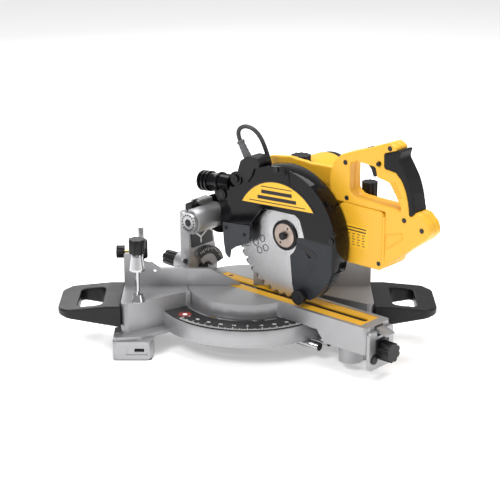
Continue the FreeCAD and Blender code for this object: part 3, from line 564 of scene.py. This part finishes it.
def cover_details():
    bm = bmesh.new()
    slot = [(122, 189.5), (136, 192.5), (162, 183), (160, 175), (151, 174.5)]
    add_solid(bm, slot, COVER_LEFT - 0.4, COVER_LEFT - 0.05)
    place_piece("cover_slot", bm, "blade_cover", "dark_mark", smooth=False)
    bm = bmesh.new()
    for r in (70, 78):
        points = [about_arbor(r, a) for a in range(-58, -24, 3)]
        points += [about_arbor(r - 1.2, a) for a in range(-25, -60, -3)]
        add_solid(bm, points, COVER_LEFT - 0.5, COVER_LEFT)
    place_piece("cover_ribs", bm, "blade_cover", "smoke_plastic", smooth=False)


# ---- scales ----
MARK_DEEP = 0.25
MARK_OUTER = 147.5
DIGITS_R = 130.5
BADGE = (-103.9, -75.6, SCALE_TOP)          # world
BEVEL_AXIS = (0, 96)                        # y and z


def scale_marks():
    bm = bmesh.new()
    for degree in range(-50, 51):
        long = 11 if degree % 10 == 0 else 8 if degree % 5 == 0 else 5
        inner = MARK_OUTER - long
        mark = [(inner, -0.35), (MARK_OUTER, -0.35), (MARK_OUTER, 0.35), (inner, 0.35)]
        add_solid(bm, spoke((0, 0), degree - 90, mark), SCALE_TOP, SCALE_TOP + MARK_DEEP, along="z")
    place_piece("scale_marks", bm, "base", "white_mark", where=WORLD, smooth=False)


def scale_number(value, sign):
    """One number on the mitre scale, read from the front."""
    text = bpy.data.curves.new("scale_digits", "FONT")
    text.body = str(value)
    text.size = 7 * MM
    text.align_x = "CENTER"
    text.extrude = 0.1 * MM
    text.materials.append(MATERIALS["white_mark"])
    obj = bpy.data.objects.new("scale_number_%s%d" % ("l" if sign < 0 else "r", value), text)
    x, y = about((0, 0), DIGITS_R * MM, sign * value - 90)
    obj.location = (x, y, (SCALE_TOP + 0.15) * MM)
    obj.rotation_euler = (0, 0, math.radians(sign * value))
    bpy.context.scene.collection.objects.link(obj)
    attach(obj, "base")


def scale_numbers():
    for value in range(0, 51, 10):
        for sign in ((-1, 1) if value else (1,)):
            scale_number(value, sign)


def scale_badge():
    bm = bmesh.new()
    add_tube(bm, BADGE, UP, 11, 5, MARK_DEEP, 36)
    place_piece("scale_badge", bm, "base", "red_badge", where=WORLD)
    bm = bmesh.new()
    add_rod(bm, BADGE, UP, 4.2, MARK_DEEP, 24)
    place_piece("badge_centre", bm, "base", "white_mark", where=WORLD)


def bevel_marks():
    bm = bmesh.new()
    outer = 39.8
    for k in range(-8, 9):
        inner = 33.5 if k % 3 == 0 else 35.8
        mark = [(inner, -0.4), (outer, -0.4), (outer, 0.4), (inner, 0.4)]
        add_solid(bm, spoke(BEVEL_AXIS, 70 + k * 6, mark), -91.95, -91.6, along="x")
    place_piece("bevel_marks", bm, "tilt_arm", "white_mark", smooth=False)


# ---- table, fence and boot ----
def table_details():
    bm = bmesh.new()
    add_rod(bm, (286, -19.2, 36), OUT, 8, 2.5)
    add_box(bm, 286.1, 288.5, -15, 17, 36, 68)
    place_piece("nose_plug", bm, "table", "black_plastic", bevel=0.8)
    bm = bmesh.new()
    for x in range(-31, 275, 17):
        add_box(bm, x, x + 1.5, -5.2, 5.2, 68, 69.5)
    place_piece("trough_ribs", bm, "table", "cast_aluminium", bevel=0.2)


def fence_ribs():
    """Ribs on the right fence's face, left off around its two holes."""
    bm = bmesh.new()
    for x in range(22, 204, 5):
        if not 124 < x < 132 and not 186 < x < 194:
            top = 114 if x < 150 else 122
            add_box(bm, x, x + 1.6, -5.5, -4.9, 94, top)
    place_piece("fence_ribs", bm, "base", "cast_aluminium", where=WORLD, bevel=0.15)


def boot_ribs():
    bm = bmesh.new()
    for z in (312, 318, 324, 330):
        t = (z - 305) / 35
        add_tube(bm, (9 - 23 * t, -2, z), (-23, 0, 35), 7.6 - 1.6 * t, 5, 1.6, 28)
    place_piece("boot_ribs", bm, "head", "boot_rubber", bevel=0.3)


# ---- motor housing ----
def screw_wells():
    bm = bmesh.new()
    spots = [(190, 336), (277, 374), (194, 278), (308, 264), (342, 254), (261, 182)]
    add_rods(bm, spots, HOUSING_LEFT + 0.15, 3.9, 0.7, 24)
    place_piece("screw_wells", bm, "head", "dark_mark")


def rating_plate():
    """A yellow plate with plain bars in place of its lettering."""
    bm = bmesh.new()
    front, back = HOUSING_LEFT, HOUSING_LEFT + 0.65
    for z in (226, 231):
        add_box(bm, 197, 235, front, back, z, z + 1.8)
    for row, z in enumerate((221, 216.5, 212, 207.5, 203)):
        for k in range(4):
            add_box(bm, 197 + k * 10, 203 + k * 10 - row % 2 * 2, front, back, z, z + 1.2)
    place_piece("rating_bars", bm, "head", "dark_mark", smooth=False)
    bm = bmesh.new()
    add_solid(bm, [(194, 199), (239, 199), (239, 236), (194, 236)], front + 0.15, back)
    place_piece("rating_plate", bm, "head", "label_yellow", bevel=0.2)


def motor_vents():
    bm = bmesh.new()
    for k in range(18):
        vent = spoke(MOTOR, k * 20, [(22, -1.8), (46, -2.9), (46, 2.9), (22, 1.8)])
        add_solid(bm, vent, 161.3, 161.9)
    place_piece("motor_vents", bm, "head", "dark_mark", smooth=False)
    bm = bmesh.new()
    for angle in range(-50, 50, 9):
        x, z = about(MOTOR, 58, angle)
        for y in (100, 122):
            add_box(bm, x - 1.2, x + 0.4, y, y + 18, z - 1.3, z + 1.3)
    place_piece("side_vents", bm, "head", "dark_mark", smooth=False)


def nose_panel():
    """Raised lines of the panel on the housing's nose, its long seam and the ribs of the grip."""
    bm = bmesh.new()
    panel = [(274, 209), (274, 233), (305, 241.5), (305, 231)]
    for (x0, z0), (x1, z1) in zip(panel, panel[1:] + panel[:1]):
        add_rod(bm, (x0, 20, z0), (x1 - x0, 0, z1 - z0), 1.0, math.hypot(x1 - x0, z1 - z0), 12)
    add_rod(bm, (269.5, 20.6, 184), UP, 3.0, 78, 20)
    for k in range(6):
        add_rod(bm, (281 + k * 2.4, 20, 318 - k * 4.2), (8, 0, 3), 1.1, 9, 10)
    place_piece("nose_panel", bm, "head", "yellow_plastic")


# ---- bevel arm ----
def pivot_marks():
    bm = bmesh.new()
    for k in range(16):
        mark = spoke(PIVOT, k * 22.5, [(11.5, -1.1), (14.5, -1.5), (14.5, 1.5), (11.5, 1.1)])
        add_solid(bm, mark, -63.4, -62.9)
    add_rods(bm, [PIVOT], -63.5, 7.0, 0.6, 6)
    place_piece("pivot_marks", bm, "tilt_arm", "dark_mark", smooth=False)


def arm_details():
    bm = bmesh.new()
    add_rods(bm, [(-108, 117)], -41.4, 4.2, 3, 24)
    place_piece("arm_screw", bm, "tilt_arm", "dark_steel", bevel=0.4)
    bm = bmesh.new()
    fork = Vector((-12, 157))
    for start, end in ((Vector((-26, 168)), fork), (Vector((2, 166)), fork), (fork, Vector((-12, 147)))):
        run = (end - start).normalized()
        half = Vector((-run.y, run.x)) * 1.5
        add_solid(bm, [start - half, start + half, end + half, end - half], -96.45, -96.0, along="x")
    place_piece("bevel_pointer", bm, "tilt_arm", "white_mark", smooth=False)


make_camera()
make_lights()
make_floor()
power_lead()
dress_cad()
dress_two_tone_parts()
mouldings()
blade_tips()
blade_marks()
flange_details()
guard_plate()
guard_stripes()
guard_fasteners()
cover_details()
scale_marks()
scale_numbers()
scale_badge()
bevel_marks()
table_details()
fence_ribs()
boot_ribs()
screw_wells()
rating_plate()
motor_vents()
nose_panel()
pivot_marks()
arm_details()
